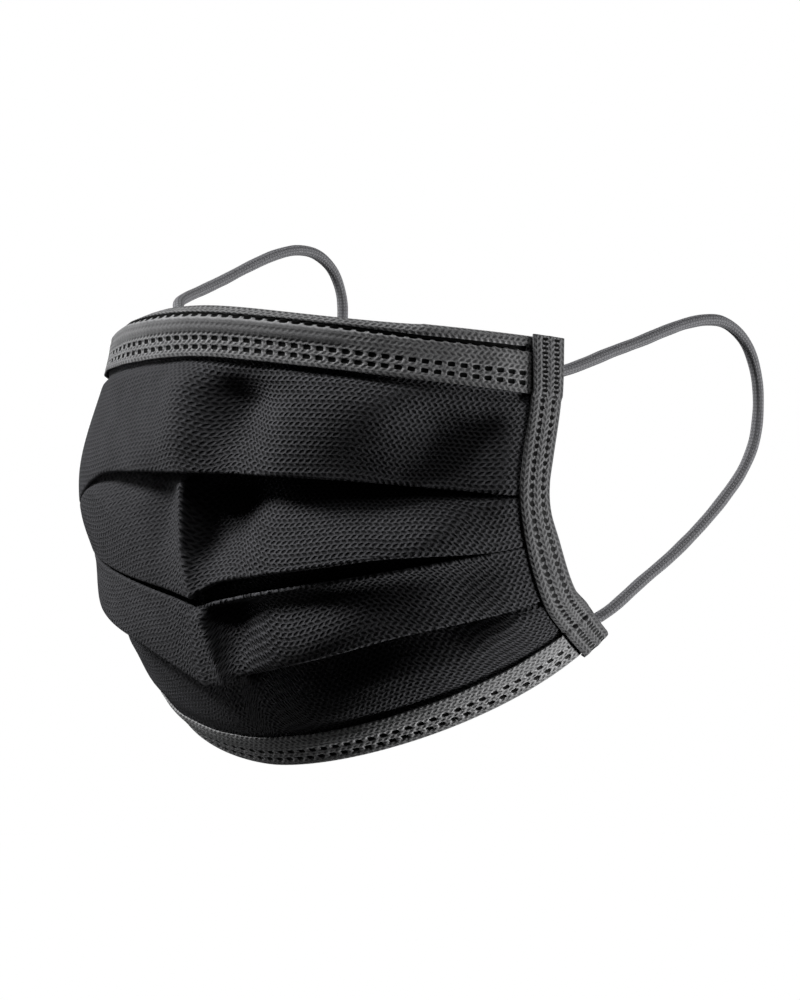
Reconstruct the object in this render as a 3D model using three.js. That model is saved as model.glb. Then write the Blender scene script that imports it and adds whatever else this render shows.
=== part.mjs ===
// Disposable pleated face mask, in millimetres, keeping the form that it has when it is worn.
// The front faces -Y, the top edge is at +Z, and the wearer's left is +X. The origin is where the
// top hem sits on the bridge of the nose.
//
// The cloth is described by seven lines that run from side edge to side edge. Cloth doesn't
// stretch, so every line is equally long, and each one only bends: it leaves the centre straight
// across the face and turns back along the cheek. A smooth surface passes through the seven lines.
// Every piece is set out on that surface: `share` goes from 0 on the centre crease to 1 at a side
// edge, `row` goes from 0 at the top edge to 6 at the bottom edge, and then come millimetres down
// the cloth, out of the face, and across toward the side edge.
import * as THREE from "three";

const HALF_LINE = 95; // from the centre crease to a side edge, along any line
const LINE_STEPS = 96;
const WALL = 1.0; // three welded layers, and a leaf of a binding
const CLEARANCE = 0.3; // between neighbouring pieces
const INSET = WALL + CLEARANCE; // of the panel's edge inside a folded binding

// centreY, centreZ: the line's point on the centre crease. sideZ: its height at the side edge.
// drop: power of the height along the line. turnSide, turn: angle at the side edge, and power of
// the turn along the line.
const LINES = [
  { name: "top_edge", centreY: -2.5, centreZ: 5.0, sideZ: -3.1, drop: 1.15, turnSide: 86, turn: 0.95 },
  { name: "top_hem_line", centreY: -2.0, centreZ: -6.8, sideZ: -16.8, drop: 1.05, turnSide: 87, turn: 1.15 },
  { name: "upper_pleat", centreY: -7.0, centreZ: -33.6, sideZ: -39.8, drop: 2.05, turnSide: 83, turn: 1.26 },
  { name: "middle_pleat", centreY: -2.8, centreZ: -66.0, sideZ: -49.5, drop: 0.85, turnSide: 80, turn: 1.2 },
  { name: "lower_pleat", centreY: 6.3, centreZ: -84.4, sideZ: -61.0, drop: 1.0, turnSide: 84, turn: 1.35 },
  { name: "bottom_hem_line", centreY: 16.5, centreZ: -97.1, sideZ: -66.2, drop: 1.74, turnSide: 82, turn: 1.14 },
  { name: "bottom_edge", centreY: 25.0, centreZ: -104.7, sideZ: -71.5, drop: 1.68, turnSide: 86, turn: 1.2 },
];
const BOTTOM_ROW = LINES.length - 1;

function clothLine({ centreY, centreZ, sideZ, drop, turnSide, turn }) {
  const step = HALF_LINE / LINE_STEPS;
  const points = [new THREE.Vector3(0, centreY, centreZ)];
  for (let k = 1; k <= LINE_STEPS + 4; k++) {
    const before = (k - 1) / LINE_STEPS;
    const after = k / LINE_STEPS;
    const rise = (after ** drop - before ** drop) * (sideZ - centreZ);
    const level = Math.sqrt(step ** 2 - rise ** 2);
    const angle = THREE.MathUtils.degToRad(turnSide * ((before + after) / 2) ** turn);
    points.push(new THREE.Vector3(Math.cos(angle) * level, Math.sin(angle) * level, rise).add(points[k - 1]));
  }
  return points;
}

const clothLines = LINES.map(clothLine);

function onLine(points, share) {
  const at = Math.abs(share) * LINE_STEPS;
  const k = Math.min(Math.floor(at), points.length - 2);
  const point = points[k].clone().lerp(points[k + 1], at - k);
  if (share < 0) point.x = -point.x;
  return point;
}

function cloth(share, row) {
  const knots = clothLines.map((points) => onLine(points, share));
  return new THREE.CatmullRomCurve3(knots, false, "centripetal").getPoint(row / BOTTOM_ROW);
}

// The cloth's directions at a place: down it, out of the face, and across toward this side's edge.
function directions(share, row) {
  const slope = (a, b) => cloth(...b).sub(cloth(...a)).normalize();
  const above = Math.max(row - 0.02, 0);
  const below = Math.min(row + 0.02, BOTTOM_ROW);
  const down = slope([share, above], [share, below]);
  const toLeft = slope([share - 0.01, row], [share + 0.01, row]);
  const out = down.clone().cross(toLeft).normalize();
  return { down, out, across: toLeft.multiplyScalar(Math.sign(share) || 1) };
}

function place(share, row, { down = 0, out = 0, across = 0 }) {
  const along = directions(share, row);
  return cloth(share, row)
    .addScaledVector(along.down, down)
    .addScaledVector(along.out, out)
    .addScaledVector(along.across, across);
}

// A closed solid through rings of points. Each ring is a row of {point, flat}, flat being the
// ring's own flat drawing, from which its end cap is cut into triangles.
function loft(rings) {
  const size = rings[0].length;
  const corners = rings.flatMap((ring) => ring.map(({ point }) => point));
  const faces = [];
  for (let r = 0; r + 1 < rings.length; r++) {
    for (let k = 0; k < size; k++) {
      const a = r * size + k;
      const b = r * size + ((k + 1) % size);
      faces.push([a, b, b + size], [a, b + size, a + size]);
    }
  }
  const cap = THREE.ShapeUtils.triangulateShape(rings[0].map(({ flat }) => flat), []);
  const clockwise = THREE.ShapeUtils.isClockWise(rings[0].map(({ flat }) => flat));
  const last = (rings.length - 1) * size;
  for (const [a, b, c] of cap) {
    faces.push(clockwise ? [a, b, c] : [c, b, a]);
    faces.push(clockwise ? [last + c, last + b, last + a] : [last + a, last + b, last + c]);
  }
  const volume = faces.reduce((sum, [a, b, c]) => sum + corners[a].dot(corners[b].clone().cross(corners[c])), 0);
  if (volume < 0) faces.forEach((face) => face.reverse());
  const geometry = new THREE.BufferGeometry();
  geometry.setAttribute("position", new THREE.Float32BufferAttribute(corners.flatMap((p) => p.toArray()), 3));
  geometry.setIndex(faces.flat());
  geometry.computeVertexNormals();
  return geometry;
}

const smooth = (from, to, value) => THREE.MathUtils.smoothstep(value, from, to);
const bump = (share, middle, width) => Math.exp(-(((Math.abs(share) - middle) / width) ** 2));
const bothSides = (shares) => [...shares.slice(1).reverse().map((share) => -share), ...shares];

const mask = new THREE.Group();
mask.name = "face_mask";

function addPiece(name, geometry, color, roughness) {
  const piece = new THREE.Mesh(geometry, new THREE.MeshStandardMaterial({ color, roughness, metalness: 0 }));
  piece.name = name;
  mask.add(piece);
}

// ---- Pleated panel: the front skin with its pleats, then the back skin, which runs behind them.
// Columns stand at these shares, closer together by the centre crease.
const COLUMNS = 18;
const SIDE_BINDING_SHARE = 0.889; // inner edge of the side bindings
const panelShares = [
  ...Array.from({ length: COLUMNS + 1 }, (_, k) => (k / COLUMNS) ** 1.25 * 0.86),
  SIDE_BINDING_SHARE, (SIDE_BINDING_SHARE + 1) / 2, 1 - (INSET + CLEARANCE) / HALF_LINE,
];

// A pleat is deepest by the centre and is pressed flat before it goes under the side binding.
const PLEAT_DEPTH = {
  lip: (share) => 1 - smooth(0.3, SIDE_BINDING_SHARE, Math.abs(share)),
  tuck: (share) => 1 - smooth(0.4, 0.8, Math.abs(share)),
  none: () => 1,
};

// down: millimetres down from the row where the pleat is pressed flat, and where it stands folded.
// out: millimetres out of the face where it stands folded. crease: height of the centre crease.
const FRONT_SKIN = [
  { row: 0, flat: INSET, folded: INSET, out: 0, crease: 0, pleat: "none" },
  { row: 0.5, flat: 0, folded: 0, out: 0, crease: 0, pleat: "none" },
  { row: 1, flat: 0, folded: 0, out: 0, crease: 0, pleat: "none" },
  { row: 1.25, flat: 0, folded: 0, out: 0, crease: 0.7, pleat: "none" },
  { row: 1.5, flat: 0, folded: 0, out: 0, crease: 1.0, pleat: "none" },
  { row: 1.7, flat: 0, folded: 0, out: 0, crease: 0.7, pleat: "none" },
  { row: 1.87, flat: 0, folded: 0, out: 0, crease: 0.3, pleat: "none" },
  // The upper pleat's lip hangs over the second panel.
  { row: 2, flat: -1.5, folded: -0.8, out: 0, crease: 0, pleat: "lip" },
  { row: 2, flat: -0.9, folded: 0, out: -0.5, crease: 0, pleat: "lip" },
  { row: 2, flat: -0.3, folded: -0.8, out: -1.0, crease: 0, pleat: "lip" },
  { row: 2, flat: 0.3, folded: -2.6, out: -1.2, crease: 0, pleat: "lip" },
  { row: 2, flat: 0.9, folded: -2.6, out: -4.6, crease: 3.0, pleat: "lip" },
  { row: 2, flat: 1.5, folded: 0.8, out: -4.6, crease: 3.3, pleat: "lip" },
  { row: 2.2, flat: 0, folded: 0, out: -3.7, crease: 3.6, pleat: "lip" },
  { row: 2.5, flat: 0, folded: 0, out: -1.6, crease: 3.2, pleat: "lip" },
  { row: 2.75, flat: 0, folded: 0, out: -0.3, crease: 2.2, pleat: "lip" },
  // The middle pleat is a tuck: the second panel dips behind the third one's upper edge.
  { row: 3, flat: -1.8, folded: -3.2, out: 0, crease: 1.0, pleat: "tuck" },
  { row: 3, flat: -1.1, folded: -1.2, out: -1.3, crease: 0.8, pleat: "tuck" },
  { row: 3, flat: -0.4, folded: 1.2, out: -2.2, crease: 0.6, pleat: "tuck" },
  { row: 3, flat: 0.3, folded: 1.0, out: -1.2, crease: 0.6, pleat: "tuck" },
  { row: 3, flat: 0.9, folded: 0, out: -0.5, crease: 0.6, pleat: "tuck" },
  { row: 3, flat: 1.6, folded: 0.8, out: 0, crease: 0.8, pleat: "tuck" },
  { row: 3.3, flat: 0, folded: 0, out: 0.8, crease: 1.4, pleat: "lip" },
  { row: 3.65, flat: 0, folded: 0, out: 1.0, crease: 1.2, pleat: "lip" },
  // The lower pleat's lip hangs over the chin panel.
  { row: 4, flat: -1.5, folded: -0.8, out: 0.6, crease: 0.6, pleat: "lip" },
  { row: 4, flat: -0.9, folded: 0, out: 0.1, crease: 0.6, pleat: "lip" },
  { row: 4, flat: -0.3, folded: -0.8, out: -0.4, crease: 0.6, pleat: "lip" },
  { row: 4, flat: 0.3, folded: -2.4, out: -0.6, crease: 0.6, pleat: "lip" },
  { row: 4, flat: 0.9, folded: -2.4, out: -3.6, crease: 0, pleat: "lip" },
  { row: 4, flat: 1.5, folded: 0.8, out: -3.6, crease: 0, pleat: "lip" },
  { row: 4.25, flat: 0, folded: 0, out: -2.6, crease: 0, pleat: "lip" },
  { row: 4.6, flat: 0, folded: 0, out: -0.9, crease: 0, pleat: "lip" },
  { row: 5, flat: 0, folded: 0, out: 0, crease: 0, pleat: "none" },
  { row: 5.5, flat: 0, folded: 0, out: 0, crease: 0, pleat: "none" },
  { row: 6, flat: -INSET, folded: -INSET, out: 0, crease: 0, pleat: "none" },
];

// The back skin, from the bottom edge up to the top edge.
const BACK_SKIN = [
  { row: 6, flat: -INSET, folded: -INSET, out: 0, crease: 0, pleat: "none" },
  { row: 5.5, flat: 0, folded: 0, out: 0, crease: 0, pleat: "none" },
  { row: 5, flat: 0, folded: 0, out: 0, crease: 0, pleat: "none" },
  { row: 4.6, flat: 0, folded: 0, out: -0.9, crease: 0, pleat: "lip" },
  { row: 4.25, flat: 0, folded: 0, out: -2.6, crease: 0, pleat: "lip" },
  { row: 4, flat: 0, folded: 0, out: -3.6, crease: 0, pleat: "lip" },
  { row: 4, flat: -2, folded: -4, out: -3.4, crease: 0, pleat: "lip" },
  { row: 3.6, flat: 0, folded: 0, out: 0.3, crease: 0.8, pleat: "lip" },
  { row: 3.3, flat: 0, folded: 0, out: -0.6, crease: 0.8, pleat: "tuck" },
  { row: 3, flat: 1, folded: 2, out: -2.2, crease: 0.5, pleat: "tuck" },
  { row: 3, flat: -1.5, folded: -2.6, out: -1.6, crease: 0.8, pleat: "tuck" },
  { row: 2.75, flat: 0, folded: 0, out: -0.5, crease: 2.0, pleat: "lip" },
  { row: 2.5, flat: 0, folded: 0, out: -1.8, crease: 3.0, pleat: "lip" },
  { row: 2.2, flat: 0, folded: 0, out: -3.8, crease: 3.4, pleat: "lip" },
  { row: 2, flat: 0, folded: 0, out: -4.6, crease: 3.0, pleat: "lip" },
  { row: 2, flat: -1.5, folded: -3.2, out: -4.0, crease: 2.6, pleat: "lip" },
  { row: 1.87, flat: 0, folded: 0, out: -0.6, crease: 0.3, pleat: "lip" },
  { row: 1.7, flat: 0, folded: 0, out: 0, crease: 0.7, pleat: "none" },
  { row: 1.5, flat: 0, folded: 0, out: 0, crease: 1.0, pleat: "none" },
  { row: 1.25, flat: 0, folded: 0, out: 0, crease: 0.7, pleat: "none" },
  { row: 1, flat: 0, folded: 0, out: 0, crease: 0, pleat: "none" },
  { row: 0.5, flat: 0, folded: 0, out: 0, crease: 0, pleat: "none" },
  { row: 0, flat: INSET, folded: INSET, out: 0, crease: 0, pleat: "none" },
];

const NOSE_RIDGE_WIDTH = 0.1; // shares; the soft ridge below the nose wire
const CREASE_WIDTH = 0.055; // shares; the sharper crease of the lower panels
const HOLLOW = { middle: 0.24, width: 0.1, depth: 1.4 }; // beside the nose ridge

function skinPoint(share, { row, flat, folded, out, crease, pleat }, behind) {
  const depth = PLEAT_DEPTH[pleat](share);
  const onTopPanel = row > 1 && row < 2;
  const ridge = crease * bump(share, 0, onTopPanel ? NOSE_RIDGE_WIDTH : CREASE_WIDTH);
  const hollow = onTopPanel ? HOLLOW.depth * Math.sin(Math.PI * (row - 1)) * bump(share, HOLLOW.middle, HOLLOW.width) : 0;
  const down = THREE.MathUtils.lerp(flat, folded, depth);
  return place(share, row, { down, out: out * depth + ridge - hollow - behind });
}

// The ring's flat drawing is bent around a half circle, which keeps the triangles of its end cap
// short, so that the cap follows the curved side edge.
const ARC_RADIUS = 10;
const ARC_WALL = 0.04;
const ROW_SPACING = 30; // millimetres of cloth that count as one row around the arc
function panelRing(share) {
  const ringPoint = (fold, behind, radius) => {
    const angle = (Math.PI * (fold.row + fold.flat / ROW_SPACING)) / BOTTOM_ROW;
    const flat = new THREE.Vector2(Math.cos(angle) * radius, Math.sin(angle) * radius);
    return { point: skinPoint(share, fold, behind), flat };
  };
  return [
    ...FRONT_SKIN.map((fold) => ringPoint(fold, 0, ARC_RADIUS)),
    ...BACK_SKIN.map((fold) => ringPoint(fold, WALL, ARC_RADIUS - ARC_WALL)),
  ];
}

addPiece("pleated_panel", loft(bothSides(panelShares).map(panelRing)), 0x1c1c1e, 0.9);

// ---- Bindings: strips folded over an edge of the panel, with one leaf in front and one behind.
const FOLD_ACROSS = 0.4; // a binding's fold is rounded by this much along the cloth
const FOLD_OUT = 0.5; // and by this much through it
const LEAF_IN = CLEARANCE; // inner face of the front leaf
const LEAF_OUT = LEAF_IN + WALL; // its outer face
const BACK_IN = -WALL - CLEARANCE; // the same two faces of the back leaf
const BACK_OUT = BACK_IN - WALL;
const hemShares = Array.from({ length: 18 }, (_, k) => (k / 17) * (SIDE_BINDING_SHARE - CLEARANCE / HALF_LINE));

// Rings of a hem: row, millimetres down and out. The nose wire lifts the top hem's front leaf
// between wireTop and wireBottom, and ends at wireEnd.
const NOSE_WIRE = { top: 0.16, bottom: 0.46, lift: 0.8, fadeFrom: 0.36, fadeTo: 0.46 };
function topHemRing(share) {
  const lifted = LEAF_OUT + NOSE_WIRE.lift * (1 - smooth(NOSE_WIRE.fadeFrom, NOSE_WIRE.fadeTo, Math.abs(share)));
  return [
    [1, 0, LEAF_IN], [1, 0, LEAF_OUT], [0.75, 0, LEAF_OUT],
    [NOSE_WIRE.bottom + 0.05, 0, LEAF_OUT], [NOSE_WIRE.bottom - 0.02, 0, lifted],
    [NOSE_WIRE.top + 0.02, 0, lifted], [NOSE_WIRE.top - 0.05, 0, LEAF_OUT],
    [0, FOLD_ACROSS, LEAF_OUT], [0, 0, LEAF_OUT - FOLD_OUT], [0, 0, BACK_OUT + FOLD_OUT], [0, FOLD_ACROSS, BACK_OUT],
    [0.45, 0, BACK_OUT], [0.92, 0, BACK_OUT], [0.92, 0, BACK_IN], [0.45, 0, BACK_IN],
    [0, WALL, BACK_IN], [0, WALL, LEAF_IN], [0.5, 0, LEAF_IN],
  ];
}
function bottomHemRing() {
  return [
    [5, 0, LEAF_IN], [5, 0, LEAF_OUT], [5.5, 0, LEAF_OUT],
    [6, -FOLD_ACROSS, LEAF_OUT], [6, 0, LEAF_OUT - FOLD_OUT], [6, 0, BACK_OUT + FOLD_OUT], [6, -FOLD_ACROSS, BACK_OUT],
    [5.5, 0, BACK_OUT], [5.08, 0, BACK_OUT], [5.08, 0, BACK_IN], [5.5, 0, BACK_IN],
    [6, -WALL, BACK_IN], [6, -WALL, LEAF_IN], [5.5, 0, LEAF_IN],
  ];
}
const ROW_HEIGHT = 12; // millimetres of hem to a row, for the ring's flat drawing
const hemGeometry = (ringOf) => loft(bothSides(hemShares).map((share) => ringOf(share).map(([row, down, out]) => ({
  point: place(share, row, { down, out }),
  flat: new THREE.Vector2(row * ROW_HEIGHT + down, out),
}))));

addPiece("top_hem", hemGeometry(topHemRing), 0x3a3a3d, 0.85);
addPiece("bottom_hem", hemGeometry(bottomHemRing), 0x3a3a3d, 0.85);

// A side binding runs the whole height of the side edge, over the ends of both hems, and its cut
// lower end stands a little below the bottom hem. Rings: share, millimetres across and out.
const LOWER_END = 0.9;
const BINDING_ROWS = 36;
const middleShare = (SIDE_BINDING_SHARE + 1) / 2;
const SIDE_RING = [
  [SIDE_BINDING_SHARE, 0, LEAF_IN], [SIDE_BINDING_SHARE, 0, LEAF_OUT], [middleShare, 0, LEAF_OUT],
  [1, -FOLD_ACROSS, LEAF_OUT], [1, 0, LEAF_OUT - FOLD_OUT], [1, 0, BACK_OUT + FOLD_OUT], [1, -FOLD_ACROSS, BACK_OUT],
  [middleShare, 0, BACK_OUT], [SIDE_BINDING_SHARE, 0, BACK_OUT], [SIDE_BINDING_SHARE, 0, BACK_IN],
  [middleShare, 0, BACK_IN], [1, -WALL, BACK_IN], [1, -WALL, LEAF_IN], [middleShare, 0, LEAF_IN],
];
for (const [name, side] of [["side_binding_left", 1], ["side_binding_right", -1]]) {
  const rings = Array.from({ length: BINDING_ROWS + 1 }, (_, k) => {
    const row = (k / BINDING_ROWS) * BOTTOM_ROW;
    const down = k === BINDING_ROWS ? LOWER_END : 0;
    return SIDE_RING.map(([share, across, out]) => ({
      point: place(side * share, row, { down, out, across }),
      flat: new THREE.Vector2(share * HALF_LINE + across, out),
    }));
  });
  addPiece(name, loft(rings), 0x3a3a3d, 0.85);
}

// ---- Ear loops: round elastic cord. Each is welded to the back of its side binding near both
// ends and stands out behind it. They are soft, so the two don't mirror each other: the right one
// leaves over the binding's upper end and stands higher.
const CORD_RADIUS = 1.4;
const CORD_SIDES = 8;
const CORD_STEPS = 62;
const EAR_LOOPS = {
  ear_loop_left: [
    [58.6, 47.0, -10.5], [59.2, 51.0, -10.8], [59.8, 55.6, -10.9], [60.6, 60.3, -10.1], [61.4, 66.0, -8.6],
    [62.3, 75.0, -6.0], [63.4, 84.8, -3.4], [64.5, 94.0, -0.7], [65.3, 101.0, 1.0], [66.0, 107.5, 1.8],
    [66.7, 113.0, 1.4], [67.3, 118.5, -1.2], [67.7, 122.5, -5.2], [68.0, 125.4, -12.0], [68.0, 126.2, -19.8],
    [67.9, 124.6, -28.2], [67.5, 120.4, -35.2], [66.8, 114.0, -41.6], [65.8, 106.0, -48.2], [64.7, 96.0, -55.0],
    [63.2, 86.0, -61.0], [61.4, 76.5, -67.2], [59.6, 71.8, -70.0], [58.8, 67.1, -72.8], [57.9, 63.6, -74.9],
  ],
  ear_loop_right: [
    [-59.4, 47.6, -14.6], [-58.9, 48.8, -11.4], [-58.0, 50.0, -8.0], [-57.4, 51.0, -4.6], [-57.4, 51.8, -1.2],
    [-58.7, 52.8, 2.2], [-61.3, 54.6, 4.8], [-64.3, 58.0, 6.4], [-66.6, 63.2, 7.8], [-67.9, 70.0, 9.6],
    [-67.7, 78.0, 12.4], [-66.6, 86.6, 16.0], [-65.4, 95.0, 19.0], [-64.4, 102.4, 20.3], [-63.7, 109.0, 19.2],
    [-63.2, 114.6, 15.2], [-62.9, 117.8, 8.6], [-62.7, 118.0, 1.5], [-62.5, 115.4, -9.0], [-62.2, 110.4, -21.0],
    [-61.9, 104.0, -33.0], [-61.5, 96.4, -44.5], [-61.1, 87.8, -55.0], [-60.5, 79.4, -64.0], [-59.6, 72.0, -70.0],
    [-58.8, 67.1, -72.8], [-57.9, 63.6, -74.9],
  ],
};
for (const [name, route] of Object.entries(EAR_LOOPS)) {
  const section = new THREE.Shape(Array.from({ length: CORD_SIDES }, (_, k) => {
    const angle = (2 * Math.PI * (k + 0.5)) / CORD_SIDES;
    return new THREE.Vector2(Math.cos(angle) * CORD_RADIUS, Math.sin(angle) * CORD_RADIUS);
  }));
  const extrudePath = new THREE.CatmullRomCurve3(route.map((point) => new THREE.Vector3(...point)));
  addPiece(name, new THREE.ExtrudeGeometry(section, { steps: CORD_STEPS, extrudePath }), 0x4a4a4c, 0.8);
}

export default mask;
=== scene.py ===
# Disposable pleated face mask, black, in the form that it has when it is worn.
# The front faces -Y, the top edge is at +Z, and the wearer's left is +X.
import math

import bpy
import numpy as np
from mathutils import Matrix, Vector


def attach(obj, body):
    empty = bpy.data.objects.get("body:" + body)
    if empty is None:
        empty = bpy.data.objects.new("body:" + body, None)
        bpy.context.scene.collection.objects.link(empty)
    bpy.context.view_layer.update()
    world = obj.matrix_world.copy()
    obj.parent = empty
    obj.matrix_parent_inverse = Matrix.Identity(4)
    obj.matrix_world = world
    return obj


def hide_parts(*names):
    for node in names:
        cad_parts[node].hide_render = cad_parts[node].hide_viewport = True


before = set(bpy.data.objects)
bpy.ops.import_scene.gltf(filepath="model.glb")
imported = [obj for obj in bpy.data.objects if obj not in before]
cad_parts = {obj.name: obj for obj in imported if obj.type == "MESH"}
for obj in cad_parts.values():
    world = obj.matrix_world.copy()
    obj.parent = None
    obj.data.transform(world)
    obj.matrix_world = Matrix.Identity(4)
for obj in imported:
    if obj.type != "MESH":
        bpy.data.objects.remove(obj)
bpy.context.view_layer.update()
bpy.ops.object.select_all(action="DESELECT")

# ---- Camera: a long lens a metre away, almost level with the mask and off toward the wearer's left,
# so that the near side shows whole and the far side is seen almost edge on.
look_at = Vector((0.0215, 0.0456, -0.0413))
turn, rise, reach = math.radians(41.4), math.radians(2.3), 1.001
bpy.ops.object.camera_add()
camera = bpy.context.object
camera.name = "camera"
toward_camera = Vector((math.sin(turn) * math.cos(rise), -math.cos(turn) * math.cos(rise), math.sin(rise)))
camera.location = look_at + reach * toward_camera
camera.rotation_euler = (-toward_camera).to_track_quat("-Z", "Y").to_euler()
camera.data.lens = 150.6
camera.data.sensor_width = 36
camera.data.clip_start = 0.05
camera.data.clip_end = 20
bpy.context.scene.camera = camera

# ---- Ear loops: round knitted elastic, 2.8 mm thick, of polyester yarn over spandex. Each end is
# pressed flat and welded to the back of a side binding. The yarn lies in small V-shaped stitches,
# which give the cord its matt, slightly ribbed surface.
CORD_DIAMETER = 0.0028
CORD_AROUND = 28  # points around it
CORD_STEP = 0.00045  # from one ring of points to the next
CUT_ROUND = 0.0006  # each cut end is rounded over
PRESSED_LENGTH = 0.0062  # at each end
PRESSED_RUN_OUT = 0.0050  # from the pressed part to the round cord
PRESSED_THICKNESS = 0.0013
PRESSED_WIDTH = 0.0038
PRESSED_SHIFT = 0.0017  # toward the binding that it is welded to
WELD_RIBS = 0.0013  # from one welded rib to the next
WELD_RIB_DEPTH = 0.00022
WALE_MM, STITCH_MM = 0.8, 0.9  # from one wale of the knit to the next, and from stitch to stitch
# Each route runs from the upper weld to the lower one, in millimetres. to_binding is the way from
# the cord toward its binding, at both ends.
EAR_LOOPS = {
    "ear_loop_left": {
        "route": [
            (58.6, 47.0, -10.5), (59.2, 51.0, -10.8), (59.8, 55.6, -10.9), (60.6, 60.3, -10.1),
            (61.4, 66.0, -8.6), (62.3, 75.0, -6.0), (63.4, 84.8, -3.4), (64.5, 94.0, -0.7),
            (65.3, 101.0, 1.0), (66.0, 107.5, 1.8), (66.7, 113.0, 1.4), (67.3, 118.5, -1.2),
            (67.7, 122.5, -5.2), (68.0, 125.4, -12.0), (68.0, 126.2, -19.8), (67.9, 124.6, -28.2),
            (67.5, 120.4, -35.2), (66.8, 114.0, -41.6), (65.8, 106.0, -48.2), (64.7, 96.0, -55.0),
            (63.2, 86.0, -61.0), (61.4, 76.5, -67.2), (59.6, 71.8, -70.0), (58.8, 67.1, -72.8),
            (57.9, 63.6, -74.9),
        ],
        "length": 0.1825,
        "to_binding": [(0.95, -0.16, 0.22), (0.95, -0.05, -0.26)],
    },
    "ear_loop_right": {
        "route": [
            (-59.4, 47.6, -14.6), (-58.9, 48.8, -11.4), (-58.0, 50.0, -8.0), (-57.4, 51.0, -4.6),
            (-57.4, 51.8, -1.2), (-58.7, 52.8, 2.2), (-61.3, 54.6, 4.8), (-64.3, 58.0, 6.4),
            (-66.6, 63.2, 7.8), (-67.9, 70.0, 9.6), (-67.7, 78.0, 12.4), (-66.6, 86.6, 16.0),
            (-65.4, 95.0, 19.0), (-64.4, 102.4, 20.3), (-63.7, 109.0, 19.2), (-63.2, 114.6, 15.2),
            (-62.9, 117.8, 8.6), (-62.7, 118.0, 1.5), (-62.5, 115.4, -9.0), (-62.2, 110.4, -21.0),
            (-61.9, 104.0, -33.0), (-61.5, 96.4, -44.5), (-61.1, 87.8, -55.0), (-60.5, 79.4, -64.0),
            (-59.6, 72.0, -70.0), (-58.8, 67.1, -72.8), (-57.9, 63.6, -74.9),
        ],
        "length": 0.1995,
        "to_binding": [(-0.97, -0.10, 0.20), (-0.95, -0.05, -0.26)],
    },
}


def smooth_step(start, end, value):
    """0 at start, 1 at end and smooth between them, also where end is the lower of the two."""
    t = np.clip((value - start) / (end - start), 0, 1)
    return t * t * (3 - 2 * t)


def through(knots, at):
    """The smooth line through knots, one along the first axis, at knot numbers `at`."""
    knots = np.concatenate([2 * knots[:1] - knots[1:2], knots, 2 * knots[-1:] - knots[-2:-1]])
    k = np.clip(at.astype(int), 0, len(knots) - 4)
    t = (at - k)[..., None]
    if knots.ndim == 2:
        p0, p1, p2, p3 = (knots[k + n] for n in range(4))
    else:
        where = tuple(np.indices(at.shape))
        p0, p1, p2, p3 = (knots[(k + n, *where)] for n in range(4))
    d0, d1, d2 = (
        np.maximum(np.linalg.norm(b - a, axis=-1, keepdims=True) ** 0.5, 1e-9)
        for a, b in ((p0, p1), (p1, p2), (p2, p3))
    )
    m1 = ((p1 - p0) / d0 - (p2 - p0) / (d0 + d1) + (p2 - p1) / d1) * d1
    m2 = ((p2 - p1) / d1 - (p3 - p1) / (d1 + d2) + (p3 - p2) / d2) * d1
    return p1 + m1 * t + (3 * p2 - 3 * p1 - 2 * m1 - m2) * t**2 + (2 * p1 - 2 * p2 + m1 + m2) * t**3


def length_along(points):
    """How far along its line each point lies. A line's points follow each other on the last axis
    but one."""
    steps = np.linalg.norm(np.diff(points, axis=-2), axis=-1)
    return np.concatenate([np.zeros((*steps.shape[:-1], 1)), np.cumsum(steps, axis=-1)], axis=-1)


def linear(colour):
    """An sRGB hex colour as linear red, green, blue and alpha."""
    parts = [int(colour[n:n + 2], 16) / 255 for n in (1, 3, 5)]
    return (*[p / 12.92 if p <= 0.04045 else ((p + 0.055) / 1.055) ** 2.4 for p in parts], 1.0)


def add(tree, kind, links, **settings):
    """Adds a node. links gives each input by name or number: another node's output, or a value."""
    node = tree.nodes.new(kind)
    for name, value in settings.items():
        setattr(node, name, value)
    for name, value in links.items():
        if isinstance(value, bpy.types.NodeSocket):
            tree.links.new(value, node.inputs[name])
        else:
            node.inputs[name].default_value = value
    return node.outputs[0]


def cloth_object(name, points, uv, material, closed_round=False):
    """A smooth mesh object through a grid of points in metres, with its UV map in millimetres."""
    rows, columns = points.shape[:2]
    index = np.arange(rows * columns).reshape(rows, columns)
    if closed_round:
        index = np.concatenate([index, index[:, :1]], axis=1)
    quads = np.stack([index[:-1, :-1], index[1:, :-1], index[1:, 1:], index[:-1, 1:]], axis=-1).reshape(-1, 4)
    mesh = bpy.data.meshes.new(name)
    mesh.from_pydata(points.reshape(-1, 3).tolist(), [], quads.tolist())
    layer = mesh.uv_layers.new(name="cloth_mm")
    corners = uv.reshape(-1, 2)[quads.ravel()]
    if closed_round:
        # The last faces meet the first points again, and their map runs on past its last column.
        last = (quads % columns == 0) & (np.arange(len(quads)) % columns == columns - 1)[:, None]
        once_round = uv[0, -1, 0] * columns / (columns - 1)
        corners = corners + np.stack([last.ravel() * once_round, 0 * last.ravel()], axis=-1)
    layer.data.foreach_set("uv", corners.astype(np.float32).ravel())
    mesh.polygons.foreach_set("use_smooth", [True] * len(quads))
    mesh.materials.append(material)
    piece = bpy.data.objects.new(name, mesh)
    bpy.context.scene.collection.objects.link(piece)
    return piece


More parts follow.
